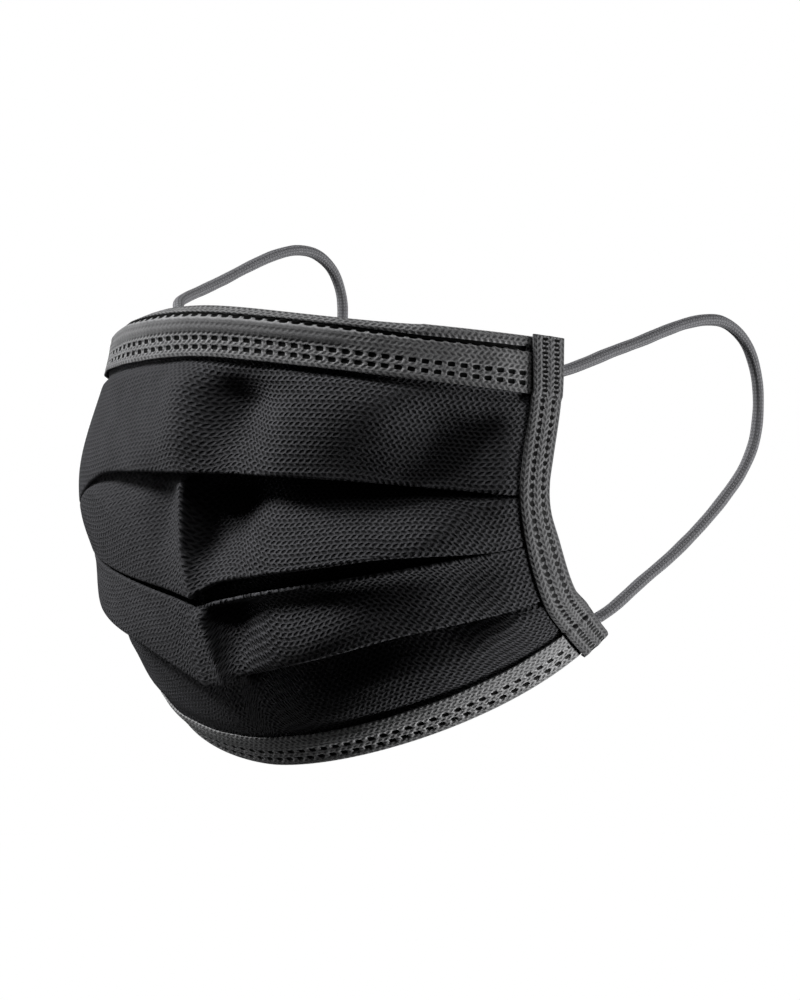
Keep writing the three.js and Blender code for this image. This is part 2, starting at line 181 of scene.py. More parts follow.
# Knitted elastic: polyester yarn is matt. Eleven wales run along the cord, 0.8 mm apart, with a
# stitch every 0.9 mm. The hollows between the wales and stitches are painted darker than the yarn, as shade.
elastic = bpy.data.materials.new("knitted polyester elastic")
elastic.use_nodes = True
tree = elastic.node_tree
shader = tree.nodes["Principled BSDF"]
uv = add(tree, "ShaderNodeUVMap", {}, uv_map="cloth_mm")
parts = add(tree, "ShaderNodeSeparateXYZ", {0: uv}).node.outputs
wale = add(tree, "ShaderNodeMath", {0: parts[0], 1: 1 / WALE_MM}, operation="MULTIPLY")
wale = add(tree, "ShaderNodeMath", {0: wale}, operation="FRACT")
wale = add(tree, "ShaderNodeMath", {0: wale, 1: 0.5}, operation="SUBTRACT")
wale = add(tree, "ShaderNodeMath", {0: wale}, operation="ABSOLUTE")
stitch = add(tree, "ShaderNodeMath", {0: parts[1], 1: 1 / STITCH_MM, 2: wale}, operation="MULTIPLY_ADD")
stitch = add(tree, "ShaderNodeMath", {0: stitch}, operation="FRACT")
stitch = add(tree, "ShaderNodeMath", {0: stitch, 1: 0.5}, operation="SUBTRACT")
stitch = add(tree, "ShaderNodeMath", {0: stitch}, operation="ABSOLUTE")
hollow = add(tree, "ShaderNodeMath", {0: stitch, 1: wale}, operation="MAXIMUM")
yarn = add(tree, "ShaderNodeTexNoise", {"Vector": uv, "Scale": 2.2, "Detail": 3.0, "Roughness": 0.6})
hollow = add(tree, "ShaderNodeMath", {0: yarn, 1: 0.35, 2: hollow}, operation="MULTIPLY_ADD")
tone = add(tree, "ShaderNodeMapRange", {"Value": hollow, "From Min": 0.42, "From Max": 0.70})
# Painted shade: the colour goes from the yarn's grey to a darker grey in the hollows of the knit.
grey_yarn, painted_hollow_shade = linear("#88888b"), linear("#505053")
colour = add(tree, "ShaderNodeMix", {0: tone, 6: grey_yarn, 7: painted_hollow_shade}, data_type="RGBA").node.outputs[2]
tree.links.new(colour, shader.inputs["Base Color"])
bump = add(tree, "ShaderNodeBump", {"Height": hollow, "Strength": 0.6, "Distance": 0.00025}, invert=True)
tree.links.new(bump, shader.inputs["Normal"])
shader.inputs["Roughness"].default_value = 0.78
shader.inputs["Specular IOR Level"].default_value = 0.35
shader.inputs["Sheen Weight"].default_value = 0.03

for name, loop in EAR_LOOPS.items():
    knots = np.array(loop["route"]) / 1000
    fine = through(knots, np.linspace(0, len(knots) - 1, 3000))
    length = length_along(fine)
    count = round(length[-1] / CORD_STEP)
    along = np.linspace(0, length[-1], count)
    line = np.stack([np.interp(along, length, fine[:, n]) for n in range(3)], axis=1)
    tangent = np.gradient(line, axis=0)
    tangent /= np.linalg.norm(tangent, axis=1, keepdims=True)
    # The way toward the binding is carried along the line from its start, without twist.
    facing = np.zeros_like(line)
    way = np.array(loop["to_binding"][0])
    for n in range(count):
        way = way - tangent[n] * (way @ tangent[n])
        way /= np.linalg.norm(way)
        facing[n] = way
    last_way = np.array(loop["to_binding"][1])
    last_way -= tangent[-1] * (last_way @ tangent[-1])
    last_way /= np.linalg.norm(last_way)
    side = np.cross(tangent, facing)
    twist = math.atan2(last_way @ side[-1], last_way @ facing[-1])
    twist = twist * smooth_step(0, 1, along / along[-1])[:, None]
    facing, side = (
        facing * np.cos(twist) + side * np.sin(twist),
        side * np.cos(twist) - facing * np.sin(twist),
    )
    from_end = np.minimum(along, along[-1] - along)
    pressed = 1 - smooth_step(PRESSED_LENGTH, PRESSED_LENGTH + PRESSED_RUN_OUT, from_end)
    ribs = np.cos(2 * math.pi * from_end / WELD_RIBS) * (from_end < PRESSED_LENGTH) * (from_end > CUT_ROUND)
    end_round = np.sqrt(np.clip(from_end / CUT_ROUND, 0.02, 1))
    uneven = 1 + 0.02 * np.sin(along / 0.0031) + 0.015 * np.sin(along / 0.0013 + 1)
    thick = (CORD_DIAMETER / 2 * (1 - pressed) + PRESSED_THICKNESS / 2 * pressed) * uneven * end_round
    wide = (CORD_DIAMETER / 2 * (1 - pressed) + PRESSED_WIDTH / 2 * pressed) * uneven * end_round
    angle = np.arange(CORD_AROUND) / CORD_AROUND * 2 * math.pi
    centre = line + facing * (PRESSED_SHIFT * pressed)[:, None]
    inward = WELD_RIB_DEPTH * ribs[:, None] * pressed[:, None] * (np.cos(angle) < -0.3)
    points = (
        centre[:, None]
        + facing[:, None] * (thick[:, None] * np.cos(angle) + inward)[..., None]
        + side[:, None] * (wide[:, None] * np.sin(angle))[..., None]
    )
    around_mm = math.pi * CORD_DIAMETER * 1000 * np.arange(CORD_AROUND) / CORD_AROUND
    uv_mm = np.stack(np.broadcast_arrays(around_mm[None], along[:, None] * 1000), axis=-1)
    cord = cloth_object(f"{name}_cord", points, uv_mm, elastic, closed_round=True)
    # The cut ends are closed, each with one small face.
    cord.select_set(True)
    bpy.context.view_layer.objects.active = cord
    bpy.ops.object.mode_set(mode="EDIT")
    bpy.ops.mesh.select_all(action="DESELECT")
    bpy.ops.mesh.select_non_manifold()
    bpy.ops.mesh.edge_face_add()
    bpy.ops.mesh.select_all(action="SELECT")
    bpy.ops.mesh.normals_make_consistent(inside=False)
    bpy.ops.object.mode_set(mode="OBJECT")
    cord.select_set(False)
    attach(cord, "root")
    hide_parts(name)

# ---- Pleated panel: three layers of polypropylene, spunbond outside and inside with melt-blown
# between them, pressed together and folded into three pleats. Worn, the pleats are pulled open over
# the nose and chin and stay pressed flat at the sides, and a crease runs down the middle.
HALF_LINE = 95.0  # millimetres of cloth from the centre crease to a side edge
LINE_STEPS = 96
# From the top edge to the bottom edge: y and z on the centre crease, z at the side edge, power of
# the height along the line, angle at the side edge, power of the turn along the line, and the share
# within which the line is rounded over at the centre.
LINES = [
    (-2.5, 5.0, -3.1, 1.15, 86, 0.95, 0.15),  # top edge
    (-2.0, -6.8, -16.8, 1.05, 87, 1.15, 0.15),  # lower edge of the top hem
    (-7.0, -33.6, -39.8, 2.05, 83, 1.26, 0),  # upper pleat
    (-2.8, -66.0, -49.5, 0.85, 80, 1.2, 0),  # middle pleat
    (6.3, -84.4, -61.0, 1.0, 84, 1.35, 0),  # lower pleat
    (16.5, -97.1, -66.2, 1.74, 82, 1.14, 0),  # upper edge of the bottom hem
    (25.0, -104.7, -71.5, 1.68, 86, 1.2, 0),  # bottom edge
]
BOTTOM_ROW = 6


def cloth_line(centre_y, centre_z, side_z, drop, turn_side, turn_power, rounded):
    """One line of cloth from the centre crease toward a side edge. It bends and doesn't stretch."""
    step = HALF_LINE / LINE_STEPS

    def height(part):
        low = rounded**drop
        return ((part**2 + rounded**2) ** (drop / 2) - low) / ((1 + rounded**2) ** (drop / 2) - low)

    line = [np.array((0.0, centre_y, centre_z))]
    for k in range(1, LINE_STEPS + 5):
        before, after = (k - 1) / LINE_STEPS, k / LINE_STEPS
        rise = (height(after) - height(before)) * (side_z - centre_z)
        level = math.sqrt(step**2 - rise**2)
        angle = math.radians(turn_side * ((before + after) / 2) ** turn_power)
        line.append(line[-1] + np.array((math.cos(angle) * level, math.sin(angle) * level, rise)))
    return np.array(line)


cloth_lines = np.array([cloth_line(*line) for line in LINES])


def cloth(share, row):
    """The worn mask's smooth surface, in millimetres: share 0 on the centre crease to 1 and -1 at
    the side edges, and row 0 at the top edge to 6 at the bottom edge."""
    share, row = np.broadcast_arrays(np.asarray(share, float), np.asarray(row, float))
    at = np.abs(share) * LINE_STEPS
    k = np.minimum(at.astype(int), cloth_lines.shape[1] - 2)
    part = (at - k)[..., None]
    knots = cloth_lines[:, k] * (1 - part) + cloth_lines[:, k + 1] * part
    knots[..., 0] *= np.where(share < 0, -1, 1)
    return through(knots, np.clip(row, 0, BOTTOM_ROW))


def on_cloth(share, row, out, down=0.0, across=0.0):
    """Points in metres, set off from the surface by millimetres out of the face, down, and across
    toward the side edge."""
    share, row, out, down, across = np.broadcast_arrays(share, row, out, down, across)

    def slope(a, b):
        way = cloth(*b) - cloth(*a)
        return way / np.linalg.norm(way, axis=-1, keepdims=True)

    down_way = slope((share, np.maximum(row - 0.02, 0)), (share, np.minimum(row + 0.02, BOTTOM_ROW)))
    left_way = slope((share - 0.01, row), (share + 0.01, row))
    out_way = np.cross(down_way, left_way)
    out_way /= np.linalg.norm(out_way, axis=-1, keepdims=True)
    side_way = left_way * np.where(share < 0, -1, 1)[..., None]
    return (
        cloth(share, row) + out_way * out[..., None] + down_way * down[..., None] + side_way * across[..., None]
    ) / 1000


def bump_at(value, middle, width):
    return np.exp(-(((value - middle) / width) ** 2))


FABRIC = 0.30  # millimetres thick
PANEL_END = 0.983  # share, inside the side bindings
LIP_ONE, TUCK, LIP_TWO = 2, 3, 4  # rows of the three pleats
INSIDE_HEM = 0.45  # millimetres by which the panel is pressed back between the top hem's leaves
BESIDE_HEM = 0.60  # millimetres by which it lies further back along the edge of a hem
PANEL_TOP, PANEL_FOOT = 1.6, 1.2  # millimetres from its edges to the folds of the hems
GROOVE_ONE, GROOVE_TWO, GROOVE_THREE = 6.6, 5.0, 8.0  # depths of the open pleats
DASH_PITCH, DASH_ROWS = 1.58, 1.06  # from one pressed dash to the next, and from row to row
DASH_HALF = (0.38, 0.34)  # half a dash's size along its row and across it
DASH_LEAN = 0.8  # along its row for each millimetre across it
FOLD_STEPS = 7  # round each fold
# Low swells and hollows that the cloth takes between its folds: share, row, their half widths, and
# millimetres out of the face.
SWELLS = [
    (0.0, 1.40, 0.085, 0.50, 2.2),
    (0.145, 1.38, 0.095, 0.55, -7.4),
    (-0.26, 1.40, 0.10, 0.45, -0.6),
    (-0.10, 2.35, 0.055, 0.36, -1.8),
    (0.47, 1.30, 0.15, 0.32, 1.6),
    (0.54, 1.98, 0.25, 0.42, -5.2),
    (0.70, 1.50, 0.13, 0.48, -5.4),
    (0.62, 1.85, 0.05, 0.15, -0.6),
    (0.14, 2.30, 0.09, 0.38, -1.4),
    (0.48, 2.85, 0.26, 0.33, 2.6),
    (0.80, 2.40, 0.09, 0.30, -0.7),
    (-0.60, 2.55, 0.25, 0.40, 0.8),
    (0.45, 3.20, 0.30, 0.22, -2.4),
    (0.34, 3.65, 0.10, 0.25, 0.8),
    (0.56, 3.55, 0.09, 0.35, -0.6),
    (0.72, 3.45, 0.09, 0.30, -1.4),
    (-0.50, 3.50, 0.25, 0.45, 0.3),
    (0.30, 4.70, 0.14, 0.30, 0.6),
    (0.60, 4.60, 0.13, 0.30, 0.5),
    (-0.45, 4.70, 0.22, 0.22, 0.6),
]


def tent(share, width, rounding):
    """A folded ridge along the centre, 1 on the crease and 0 from about width away."""
    distance = np.sqrt(share**2 + rounding**2) - rounding
    return np.exp(-distance / width)


# Columns stand closer together by the centre crease, where the ridge is sharp.
t = np.linspace(-1, 1, 177)
panel_share = np.sign(t) * PANEL_END * (0.34 * np.abs(t) + 0.66 * np.abs(t) ** 1.7)
column = panel_share[:, None]
row_steps = np.linspace(0, BOTTOM_ROW, 301)
down_steps = length_along(cloth(column, row_steps[None]))


def down_to(row):
    return np.array([np.interp(row, row_steps, d) for d in down_steps])[:, None]


def row_at(down):
    return np.array([np.interp(d, steps, row_steps) for d, steps in zip(down, down_steps)])


def top_drop(share):
    """Millimetres by which the top edge sits lower on the wearer's right, where it leans back."""
    return 3.0 * smooth_step(-0.14, -0.46, share) * smooth_step(-0.88, -0.72, share)


away = np.abs(column)
near = smooth_step(-0.05, 0.10, column)  # 1 on the wearer's left, where the tuck stands open
# How far each pleat is pulled open, 1 in the middle and 0 where it is pressed flat at the sides.
lip_open = 1 - smooth_step(0.30, 0.90, away)
upper_open = np.where(column > 0, 1 - smooth_step(0.50, 0.94, away), 1 - smooth_step(0.05, 0.50, away))
lower_open = np.where(column > 0, 1 - smooth_step(0.62, 0.90, away), 1 - smooth_step(0.50, 0.90, away))
tuck_open = 1 - smooth_step(0.48, 0.86, away)
folded_in = 1.6 + 3.9 * smooth_step(0.15, 0.95, away)  # millimetres of cloth held in each fold
hem_edge = down_to(1)
end = down_to(BOTTOM_ROW)
# Millimetres down the cloth to the three edges that show. On the wearer's right the first one hangs
# lower and the third one is drawn up.
hangs_lower = smooth_step(-0.28, -0.66, column) * (1 - 0.65 * smooth_step(-0.66, -0.92, column))
drawn_up = smooth_step(0.06, -0.30, column) * (1 - smooth_step(-0.60, -0.90, column))
first = down_to(LIP_ONE) + 7.0 * hangs_lower
second = down_to(TUCK)
third = down_to(LIP_TWO) - 2.3 * (1 - smooth_step(0.45, 0.85, away)) - 4.0 * drawn_up
fold_radius = 0.33 - 0.14 * smooth_step(-0.30, -0.60, column)  # pressed flatter on the wearer's right
layers = 4 * fold_radius  # the depth of a groove where its pleat is pressed flat
groove_one = layers + (GROOVE_ONE + 1.2 * near - layers) * upper_open
groove_two = layers + (GROOVE_TWO - layers) * tuck_open
groove_three = layers + (GROOVE_THREE - layers) * lower_open
slot_width = 0.35 + (0.9 + 3.0 * near) * tuck_open + 0.9 * bump_at(column, -0.06, 0.16)


def spread(start, finish, count):
    """count steps from start to finish, the first one left out."""
    return start + (finish - start) * (np.arange(1, count + 1) / count)[None]


def arc(count, start, finish):
    return np.radians(start + (finish - start) * np.arange(1, count + 1) / count)[None]


# The folded line of each column, stretch by stretch: millimetres down the surface and out of it.
downs, outs = [], []


def follow(down, out):
    down, out = np.broadcast_arrays(down, out)
    downs.append(np.broadcast_to(down, (len(panel_share), down.shape[1])))
    outs.append(np.broadcast_to(out, (len(panel_share), out.shape[1])))


def hanging_lip(start, lip, groove, face_out, count):
    """The face down to a lip, round it, up behind the face and round again, to hang in the groove."""
    r = fold_radius
    down = spread(start, lip - r, count)
    follow(down, face_out(down))
    edge = face_out(lip - r)
    turn_down = arc(FOLD_STEPS, 90, -90)
    follow(lip - r + r * np.cos(turn_down), edge - r + r * np.sin(turn_down))
    back = spread(0, 1, 8)
    follow(lip - r - (folded_in - r) * back, edge - 2 * r - (groove - 4 * r) * smooth_step(0, 1, back))
    turn_up = arc(FOLD_STEPS, 90, 270)
    follow(lip - folded_in + r * np.cos(turn_up), edge - groove + r + r * np.sin(turn_up))
    return edge - groove


def upper_face(down):
    pressed = INSIDE_HEM * (1 - smooth_step(hem_edge + 0.8, hem_edge + 3.5, down))
    return -pressed - BESIDE_HEM * bump_at(down, hem_edge + 0.9, 1.2)


top = PANEL_TOP + top_drop(column)
follow(top, -INSIDE_HEM + 0 * column)
deep = hanging_lip(top, first, groove_one, upper_face, 50)

# Second panel: it hangs in the first groove and comes out to the face again further down.
panel_two = second - first
come_out = first + 0.9 + (0.01 + 0.87 * upper_open) * panel_two
last = second - slot_width - 0.8


def second_face(down):
    part = np.clip((down - first - 0.5) / (come_out - first - 0.5), 0, 1)
    return deep * (1 - 0.6 * part - 0.4 * smooth_step(0, 1, part))


down = spread(first - folded_in, last, 52)
follow(down, second_face(down))
# Tuck: the second panel turns in, runs down behind the third one, and comes up to its upper edge.
turn_in = arc(6, 90, 0)
bend = 0.8
follow(last + bend * np.cos(turn_in), -bend + bend * np.sin(turn_in))
follow(last + bend + 0 * spread(0, 1, 3), spread(-bend, -groove_two + bend * 0.6, 3))
hidden = second + folded_in
follow(spread(last + bend, hidden, 8), spread(-groove_two + bend * 0.6, -groove_two, 8))
turn_back = arc(FOLD_STEPS, -90, 90)
follow(hidden + fold_radius * np.cos(turn_back), -groove_two + fold_radius + fold_radius * np.sin(turn_back))
rise_up = spread(0, 1, 7)
follow(
    hidden + (second + fold_radius - hidden) * rise_up,
    -groove_two + 2 * fold_radius + (groove_two - 4 * fold_radius) * smooth_step(0, 1, rise_up),
)
turn_over = arc(FOLD_STEPS, 270, 90)
follow(second + fold_radius + fold_radius * np.cos(turn_over), -fold_radius + fold_radius * np.sin(turn_over))


# Third panel swells a little, down to the lower lip.
def third_face(down):
    part = np.clip((down - second) / (third - second), 0, 1)
    return 3.4 * lip_open * (0.5 * smooth_step(0, 0.6, part) + 0.5 * smooth_step(0.4, 1, part))


deep = hanging_lip(second + fold_radius, third, groove_three, third_face, 30)
chin = end - third


# The chin hangs in the lowest groove, and comes out to the face soon below the lip.
def chin_face(down):
    come_out = 0.08 + (0.24 + 0.04 * near) * lower_open
    part = np.clip((down - third - 0.5) / (come_out * chin), 0, 1)
    beside_hem = BESIDE_HEM * bump_at(down, down_to(5) - 0.9, 1.2)
    return deep * (1 - 0.5 * part - 0.5 * smooth_step(0, 1, part)) - beside_hem


down = spread(third - folded_in, end - PANEL_FOOT, 40)
follow(down, chin_face(down))
down = np.concatenate(downs, axis=1)
out = np.concatenate(outs, axis=1)
row = row_at(down)

# Crease and swells. The nose has a soft ridge, and the crease below it is sharp.
CREASE_ROUND = 0.008  # share
crease_at = np.interp(row, [2.0, 2.55, 3.0, 4.0], [-0.025, -0.018, 0.022, 0.070])
off_crease = column - crease_at
nose_ridge = 1.6 * bump_at(column, -0.01, 0.08) * smooth_step(1.0, 1.3, row) * (1 - smooth_step(1.7, 2.0, row))
beak = 3.6 * (1 - smooth_step(2.0, 3.0, row)) + 1.0
crease_width = 0.035 + 0.015 * (1 - smooth_step(2.0, 2.9, row))
on_second = smooth_step(2.02, 2.12, row) * (1 - smooth_step(2.93, 3.0, row))
on_third = smooth_step(3.0, 3.1, row) * (1 - smooth_step(3.9, 4.3, row))
beak = beak * tent(off_crease, crease_width, CREASE_ROUND) * on_second
keel = 1.8 * tent(off_crease, 0.05, CREASE_ROUND) * on_third
# On the wearer's left the cloth drops away behind the crease, and comes out again beside it.
beside = np.clip(off_crease, 0, None)
drop_width = np.interp(row, [2.9, 3.1, 3.8], [0.16, 0.14, 0.08])
drop_away = (1 - np.exp(-beside / 0.045)) * np.exp(-((beside / drop_width) ** 2))
drop_deep = 9.0 * smooth_step(2.0, 2.15, row) * (1 - smooth_step(2.45, 3.0, row))
below_tuck = smooth_step(3.0, 3.12, row) * (1 - smooth_step(3.9, 4.2, row))
drop_deep = drop_deep + 7.0 * below_tuck * (1 - 0.65 * smooth_step(3.5, 3.88, row))
out = out + nose_ridge + beak + keel - drop_deep * drop_away
# The swells end where the hems and the pressed sides hold the cloth.
free = smooth_step(1.0, 1.35, row) * (1 - smooth_step(4.7, 5.0, row)) * (1 - smooth_step(0.78, 0.89, away))
for share_at, row_mid, share_width, row_width, height in SWELLS:
    out = out + height * free * bump_at(column, share_at, share_width) * bump_at(row, row_mid, row_width)
points = on_cloth(column, row, out)
cloth_down = 1000 * length_along(points)
uv_mm = np.stack(np.broadcast_arrays(HALF_LINE * column, -cloth_down), axis=-1)


def embossed_points(tree, uv):
    """Rows of pressed dashes, which lean one way and the other by turns, so that the strands left
    between them run down in a zigzag. The output is the distance from a dash, 1 at its rim."""
    parts = add(tree, "ShaderNodeSeparateXYZ", {0: uv}).node.outputs
    line = add(tree, "ShaderNodeMath", {0: parts[1], 1: 1 / DASH_ROWS}, operation="MULTIPLY")
    number = add(tree, "ShaderNodeMath", {0: line}, operation="FLOOR")
    odd = add(tree, "ShaderNodeMath", {0: number, 1: 2.0}, operation="FLOORED_MODULO")
    along = add(tree, "ShaderNodeMath", {0: parts[0], 1: 1 / DASH_PITCH}, operation="MULTIPLY")
    along = add(tree, "ShaderNodeMath", {0: odd, 1: 0.5, 2: along}, operation="MULTIPLY_ADD")
    across = add(tree, "ShaderNodeMath", {0: line}, operation="FRACT")
    across = add(tree, "ShaderNodeMath", {0: across, 1: DASH_ROWS, 2: -DASH_ROWS / 2}, operation="MULTIPLY_ADD")
    along = add(tree, "ShaderNodeMath", {0: along}, operation="FRACT")
    along = add(tree, "ShaderNodeMath", {0: along, 1: DASH_PITCH, 2: -DASH_PITCH / 2}, operation="MULTIPLY_ADD")
    lean = add(tree, "ShaderNodeMath", {0: odd, 1: 2 * DASH_LEAN, 2: -DASH_LEAN}, operation="MULTIPLY_ADD")
    along = add(tree, "ShaderNodeMath", {0: across, 1: lean, 2: along}, operation="MULTIPLY_ADD")
    along = add(tree, "ShaderNodeMath", {0: along, 1: 1 / DASH_HALF[0]}, operation="MULTIPLY")
    across = add(tree, "ShaderNodeMath", {0: across, 1: 1 / DASH_HALF[1]}, operation="MULTIPLY")
    offset = add(tree, "ShaderNodeCombineXYZ", {0: along, 1: across})
    return add(tree, "ShaderNodeVectorMath", {0: offset}, operation="LENGTH").node.outputs[1]


def nonwoven(name, between, pressed, relief, show, marks=(), stretched=None, right_fade_painted_shade=None):
    """Spunbond polypropylene: fine continuous fibres, laid at random and pressed together at rows
    of dashes, which are melted film, darker and smoother than the fibres between them. relief is
    the pattern's depth in millimetres, and show is how plainly it shows, up to 1. It hardly shows
    over the nose wire, given by stretched as half its length and its two edges across. The last
    argument gives from, to, and the least that shows toward the wearer's right. There the dashes
    grow shallow, their colour fades as painted light, and the cloth is painted a darker, even colour as shade."""
    material = bpy.data.materials.new(name)
    material.use_nodes = True
    tree = material.node_tree
    shader = tree.nodes["Principled BSDF"]
    uv = add(tree, "ShaderNodeUVMap", {}, uv_map="cloth_mm")
    parts = add(tree, "ShaderNodeSeparateXYZ", {0: uv}).node.outputs
    # Fibres are 0.02 mm thick, which is too fine to show, so they are drawn in tufts of 0.3 mm.
    fibres = add(tree, "ShaderNodeTexNoise", {"Vector": uv, "Scale": 2.6, "Detail": 4.0, "Roughness": 0.65})
    clouds = add(tree, "ShaderNodeTexNoise", {"Vector": uv, "Scale": 0.16, "Detail": 2.0, "Roughness": 0.5})
    away = embossed_points(tree, uv)
    away = add(tree, "ShaderNodeMath", {0: fibres, 1: 0.7, 2: away}, operation="MULTIPLY_ADD")
    point = add(tree, "ShaderNodeMapRange", {
        "Value": away, "From Min": 0.95, "From Max": 1.75, "To Min": 1, "To Max": 0,
    }, interpolation_type="SMOOTHSTEP")
    strand = add(tree, "ShaderNodeMapRange", {
        "Value": away, "From Min": 1.3, "From Max": 2.5,
    }, interpolation_type="SMOOTHSTEP")
    pattern_shows = show
    if right_fade_painted_shade is not None:
        # Toward the wearer's right the dashes grow shallower, and their dark colour fades as painted light.
        fade_from, fade_to, least = right_fade_painted_shade
        pattern_shows = add(tree, "ShaderNodeMapRange", {
            "Value": parts[0], "From Min": fade_from, "From Max": fade_to, "To Min": least, "To Max": show,
        })
    if stretched is not None:
        # Over the nose wire the cloth is pulled tight, and its dashes hardly show.
        wire_end, wire_from, wire_to = stretched
        beyond = add(tree, "ShaderNodeMath", {0: parts[0]}, operation="ABSOLUTE")
        beyond = add(tree, "ShaderNodeMapRange", {
            "Value": beyond, "From Min": wire_end - 3, "From Max": wire_end,
        })
        beside = add(tree, "ShaderNodeMath", {0: parts[1], 1: (wire_from + wire_to) / 2}, operation="SUBTRACT")
        beside = add(tree, "ShaderNodeMath", {0: beside}, operation="ABSOLUTE")
        half = (wire_to - wire_from) / 2
        beside = add(tree, "ShaderNodeMapRange", {
            "Value": beside, "From Min": half - 0.4, "From Max": half + 0.2,
        })
        pattern_shows = add(tree, "ShaderNodeMath", {0: beyond, 1: beside}, operation="MAXIMUM")
        pattern_shows = add(tree, "ShaderNodeMapRange", {"Value": pattern_shows, "To Min": 0.15, "To Max": show})
    point = add(tree, "ShaderNodeMath", {0: point, 1: pattern_shows}, operation="MULTIPLY")
    strand = add(tree, "ShaderNodeMath", {0: strand, 1: pattern_shows}, operation="MULTIPLY")
    shade = point
    if right_fade_painted_shade is not None:
        # Where the dashes fade, the cloth is painted darker and even: painted shade over the wearer's right
        # side.
        even = add(tree, "ShaderNodeMapRange", {
            "Value": pattern_shows, "From Min": least, "From Max": show, "To Min": 0.4, "To Max": 0,
        })
        shade = add(tree, "ShaderNodeMath", {0: point, 1: even}, operation="ADD")
    fibre_tone = add(tree, "ShaderNodeMapRange", {
        "Value": fibres, "From Min": 0.25, "From Max": 0.75, "To Min": 0.80, "To Max": 1.20,
    })
    cloud_tone = add(tree, "ShaderNodeMapRange", {
        "Value": clouds, "From Min": 0.3, "From Max": 0.7, "To Min": 0.90, "To Max": 1.10,
    })
    strand_tone = add(tree, "ShaderNodeMapRange", {"Value": strand, "To Min": 0.95, "To Max": 1.10})
    tone = add(tree, "ShaderNodeMath", {0: fibre_tone, 1: cloud_tone}, operation="MULTIPLY")
    tone = add(tree, "ShaderNodeMath", {0: tone, 1: strand_tone}, operation="MULTIPLY")
    colour = add(tree, "ShaderNodeMix", {0: shade, 6: linear(between), 7: linear(pressed)}, data_type="RGBA")
    colour = add(tree, "ShaderNodeVectorMath", {0: colour.node.outputs[2], 3: tone}, operation="SCALE")
    roughness = add(tree, "ShaderNodeMapRange", {"Value": point, "To Min": 0.82, "To Max": 0.62})
    height = add(tree, "ShaderNodeMath", {0: fibres, 1: 0.35}, operation="MULTIPLY")
    height = add(tree, "ShaderNodeMath", {0: strand, 1: 0.7, 2: height}, operation="MULTIPLY_ADD")
    height = add(tree, "ShaderNodeMath", {0: point, 1: -1.0, 2: height}, operation="MULTIPLY_ADD")
    # A weld melts the fibres into dark smooth film. Around it a paler rim is painted, a highlight standing in
    # for a raised rim that catches light, though the relief has no such rim.
    melted = rim_highlight_mask = 0.0
    for mark in marks:
        shape, rim = mark_mask(tree, uv, **mark)
        melted = add(tree, "ShaderNodeMath", {0: shape, 1: melted}, operation="MAXIMUM")
        rim_highlight_mask = add(tree, "ShaderNodeMath", {0: rim, 1: rim_highlight_mask}, operation="MAXIMUM")
    if marks:
        painted_rim_highlight = add(tree, "ShaderNodeMapRange", {"Value": rim_highlight_mask, "To Min": 1.0, "To Max": 1.6})
        colour = add(tree, "ShaderNodeVectorMath", {0: colour, 3: painted_rim_highlight}, operation="SCALE")
        colour = add(tree, "ShaderNodeMix", {0: melted, 6: colour, 7: linear("#020202")}, data_type="RGBA")
        colour = colour.node.outputs[2]
        roughness = add(tree, "ShaderNodeMix", {0: melted, 2: roughness, 3: 0.6}, data_type="FLOAT")
        flat = add(tree, "ShaderNodeMath", {0: 1.0, 1: melted}, operation="SUBTRACT")
        height = add(tree, "ShaderNodeMath", {0: height, 1: flat}, operation="MULTIPLY")
    tree.links.new(colour, shader.inputs["Base Color"])
    tree.links.new(roughness, shader.inputs["Roughness"])
    bump = add(tree, "ShaderNodeBump", {"Height": height, "Strength": 1.0, "Distance": relief / 1000})
    tree.links.new(bump, shader.inputs["Normal"])
    shader.inputs["Specular IOR Level"].default_value = 0.10
    shader.inputs["Sheen Weight"].default_value = 0.015
    shader.inputs["Sheen Roughness"].default_value = 0.4
    return material


# The panel carries painted shade on the wearer's right: a darker, even colour with faint dashes.
black_nonwoven = nonwoven(
    "black spunbond polypropylene", "#545457", "#262628", relief=0.60, show=1.0, right_fade_painted_shade=(-12, 20, 0.24)
)


def make_sheet(name, points, uv_mm, material, thickness):
    piece = cloth_object(f"{name}_cloth", points, uv_mm, material)
    bpy.context.view_layer.objects.active = piece
    bpy.ops.object.modifier_add(type="SOLIDIFY")
    solid = piece.modifiers[-1]
    solid.thickness = thickness / 1000
    solid.offset = -1
    solid.use_rim = True
    bpy.ops.object.modifier_apply(modifier=solid.name)
    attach(piece, "root")
    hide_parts(name)


make_sheet(
    "pleated_panel", points, uv_mm, black_nonwoven, FABRIC,
)

# ---- Top and bottom hems: strips of spunbond polypropylene, folded over the panel's edges and
# welded through in rows of small marks. The top hem holds the nose wire in a channel.
LEAF = 0.35  # millimetres thick
LEAF_FRONT, LEAF_BACK = 0.72, -1.15  # the outer faces, in front of the panel's face and behind it
FOLD_ZONE = 1.2  # of the strip, on each side of its fold
SIDE_BINDING_SHARE = 0.889  # where the side bindings begin
HEM_STEP = 0.36  # along the strip, from one row of points to the next
HEM_END = SIDE_BINDING_SHARE + 0.035  # the side bindings cover the ends
HELD_DOWN = 0.60  # by which they press the ends down
ROLL_BACK = 3.5  # of the top hem above its first weld line leans back over the nose


def marked(marks, along, across):
    """How many millimetres deep the weld marks press the cloth, at places along and across it."""
    depth = np.zeros(np.broadcast(along, across).shape)
    for mark in marks:
        cell = (along - mark["start"]) / mark["pitch"]
        x = np.abs(cell - np.round(cell)) * mark["pitch"] / mark["half_along"]
        y = np.abs(np.abs(across) - mark["across"]) / mark["half_across"]
        shape = 1 - smooth_step(0.5, 1.6, x ** mark["power"] + y ** mark["power"])
        inside = (along > mark["zone"][0]) & (along < mark["zone"][1])
        depth = np.maximum(depth, shape * inside * mark["depth"])
    return depth


